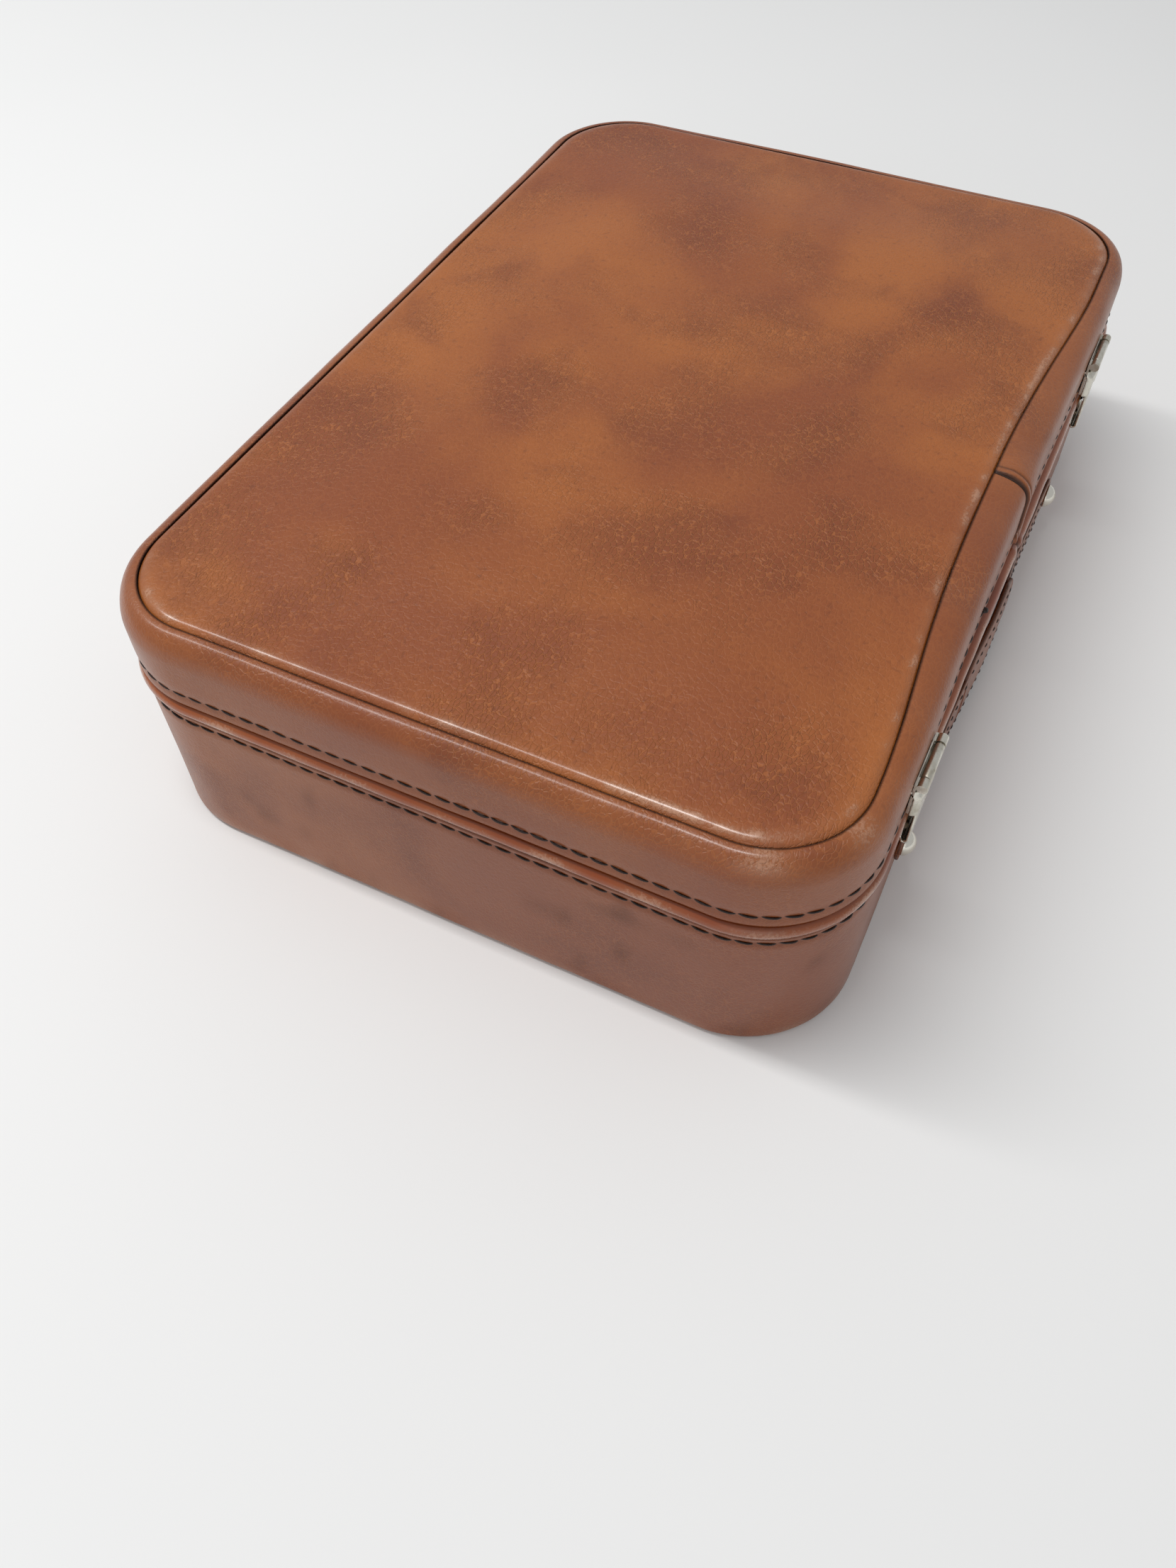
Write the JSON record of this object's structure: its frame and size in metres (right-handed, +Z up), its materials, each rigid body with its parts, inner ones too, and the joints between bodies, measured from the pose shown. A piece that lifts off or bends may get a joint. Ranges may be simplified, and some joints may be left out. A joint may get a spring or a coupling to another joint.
{
  "type": "watch winder box",
  "caption": "Leather-covered hinged case with nickel latches, a front strap handle, belt-driven watch rotors, storage wells and a battery-powered control panel.",
  "frame": {"origin": "centre of the flat underside of the case", "axes": "+Z up, +X along the long side, front with the latches and handle towards -Y"},
  "size_m": [0.3752, 0.2715, 0.1025],
  "materials": {
    "leather": "brown cover leather, semi-gloss, fine pebbled grain",
    "welt_leather": "rolled brown leather welt, polished",
    "board": "plain fibre board",
    "suede": "tan suede lining",
    "cushion_suede": "cream suede over soft filling",
    "nickel": "aged nickel plate",
    "black_plastic": "satin black plastic",
    "grey_plastic": "grey acetal",
    "knob": "dark grey plastic",
    "switch_red": "red plastic",
    "belt": "black rubber",
    "motor": "zinc-plated steel",
    "lamp": "green lens",
    "cell": "plain wrapped battery cell",
    "circuit": "green circuit board with its soldered parts",
    "lead": "red insulated wire"
  },
  "bodies": {
    "base": {"base_board": "board", "base_bottom": "leather", "base_band": "leather", "base_welt": "welt_leather", "base_lining": "suede", "latch_catches": "nickel", "handle_end_left": "leather", "handle_end_right": "leather", "handle_studs": "nickel", "hinge_base_leaves": "nickel", "hinge_pins": "nickel", "base_rivets": "nickel", "deck_board": "board", "deck_cover": "suede", "deck_cleats": "board", "deck_screws": "nickel", "storage_wells": "suede", "rotor_bearings": "grey_plastic", "rotor_rings": "nickel", "drive_belts": "belt", "gear_motors": "motor", "motor_brackets": "motor", "control_panel": "black_plastic", "switch_bodies": "black_plastic", "indicator_lamp": "lamp", "battery_box": "black_plastic", "battery_cells": "cell", "battery_contacts": "nickel", "circuit_board": "circuit", "wiring_leads": "lead"},
    "lid": {"lid_board": "board", "lid_band": "leather", "lid_top_panel": "leather", "lid_lining": "suede", "lid_pad": "suede", "latch_plates": "nickel", "latch_pins": "nickel", "hinge_lid_leaves": "nickel", "lid_rivets": "nickel"},
    "latch_left": {"latch_hasp_left": "nickel"},
    "latch_right": {"latch_hasp_right": "nickel"},
    "grip": {"handle_grip": "leather"},
    "strap_left": {"handle_strap_left": "leather"},
    "strap_right": {"handle_strap_right": "leather"},
    "rotor_left": {"rotor_cup_left": "suede", "rotor_pulley_left": "grey_plastic"},
    "rotor_right": {"rotor_cup_right": "suede", "rotor_pulley_right": "grey_plastic"},
    "motor_shaft_left": {"motor_pulley_left": "grey_plastic"},
    "motor_shaft_right": {"motor_pulley_right": "grey_plastic"},
    "cushion_left": {"watch_cushion_left": "cushion_suede"},
    "cushion_right": {"watch_cushion_right": "cushion_suede"},
    "pillow_1": {"watch_pillow_1": "cushion_suede"},
    "pillow_2": {"watch_pillow_2": "cushion_suede"},
    "pillow_3": {"watch_pillow_3": "cushion_suede"},
    "pillow_4": {"watch_pillow_4": "cushion_suede"},
    "rocker": {"power_switch": "switch_red"},
    "knob": {"mode_knob": "knob"},
    "door": {"battery_door": "black_plastic"}
  },
  "joints": [
    {"name": "lid_hinge", "type": "hinge", "parent": "base", "child": "lid", "pos_m": [0, 0.1334, 0.0695], "axis": [-1, 0, 0], "range_deg": [0, 100]},
    {"name": "latch_hinge_left", "type": "hinge", "parent": "lid", "child": "latch_left", "pos_m": [-0.118, -0.1324, 0.0836], "axis": [-1, 0, 0], "range_deg": [0, 120]},
    {"name": "latch_hinge_right", "type": "hinge", "parent": "lid", "child": "latch_right", "pos_m": [0.108, -0.1324, 0.0836], "axis": [-1, 0, 0], "range_deg": [0, 120]},
    {"name": "handle_lift", "type": "slide", "parent": "base", "child": "grip", "axis": [0, -1, 0], "range_m": [0, 0.014]},
    {"name": "strap_bend_left", "type": "hinge", "parent": "base", "child": "strap_left", "pos_m": [-0.093, -0.1312, 0.0185], "axis": [0, 0, -1], "range_deg": [0, 13.6]},
    {"name": "strap_bend_right", "type": "hinge", "parent": "base", "child": "strap_right", "pos_m": [0.093, -0.1312, 0.0185], "axis": [0, 0, 1], "range_deg": [0, 13.6]},
    {"name": "rotor_spin_left", "type": "hinge", "parent": "base", "child": "rotor_left", "pos_m": [-0.098, 0.06, 0.02], "axis": [0, 0, 1], "continuous": true},
    {"name": "rotor_spin_right", "type": "hinge", "parent": "base", "child": "rotor_right", "pos_m": [0.098, 0.06, 0.02], "axis": [0, 0, 1], "continuous": true},
    {"name": "motor_spin_left", "type": "hinge", "parent": "base", "child": "motor_shaft_left", "pos_m": [-0.024, 0.024, 0.02], "axis": [0, 0, 1], "continuous": true},
    {"name": "motor_spin_right", "type": "hinge", "parent": "base", "child": "motor_shaft_right", "pos_m": [0.024, 0.024, 0.02], "axis": [0, 0, 1], "continuous": true},
    {"name": "cushion_lift_left", "type": "slide", "parent": "rotor_left", "child": "cushion_left", "axis": [0, 0, 1], "range_m": [0, 0.009]},
    {"name": "cushion_lift_right", "type": "slide", "parent": "rotor_right", "child": "cushion_right", "axis": [0, 0, 1], "range_m": [0, 0.009]},
    {"name": "pillow_lift_1", "type": "slide", "parent": "base", "child": "pillow_1", "axis": [0, 0, 1], "range_m": [0, 0.018]},
    {"name": "pillow_lift_2", "type": "slide", "parent": "base", "child": "pillow_2", "axis": [0, 0, 1], "range_m": [0, 0.018]},
    {"name": "pillow_lift_3", "type": "slide", "parent": "base", "child": "pillow_3", "axis": [0, 0, 1], "range_m": [0, 0.018]},
    {"name": "pillow_lift_4", "type": "slide", "parent": "base", "child": "pillow_4", "axis": [0, 0, 1], "range_m": [0, 0.018]},
    {"name": "switch_rock", "type": "hinge", "parent": "base", "child": "rocker", "pos_m": [-0.017, 0.054, 0.058], "axis": [-1, 0, 0], "range_deg": [0, 16]},
    {"name": "knob_turn", "type": "hinge", "parent": "base", "child": "knob", "pos_m": [0.017, 0.054, 0.058], "axis": [0, 0, 1], "range_deg": [0, 270]},
    {"name": "battery_door_hinge", "type": "hinge", "parent": "base", "child": "door", "pos_m": [0, 0.1005, 0.0575], "axis": [-1, 0, 0], "range_deg": [0, 95]}
  ],
  "couplings": [
    {"joint": "strap_bend_left", "follows": "handle_lift", "rad_per_m": 16.8},
    {"joint": "strap_bend_right", "follows": "handle_lift", "rad_per_m": 16.8},
    {"joint": "motor_spin_left", "follows": "rotor_spin_left", "ratio": 6.3333},
    {"joint": "motor_spin_right", "follows": "rotor_spin_right", "ratio": 6.3333}
  ]
}
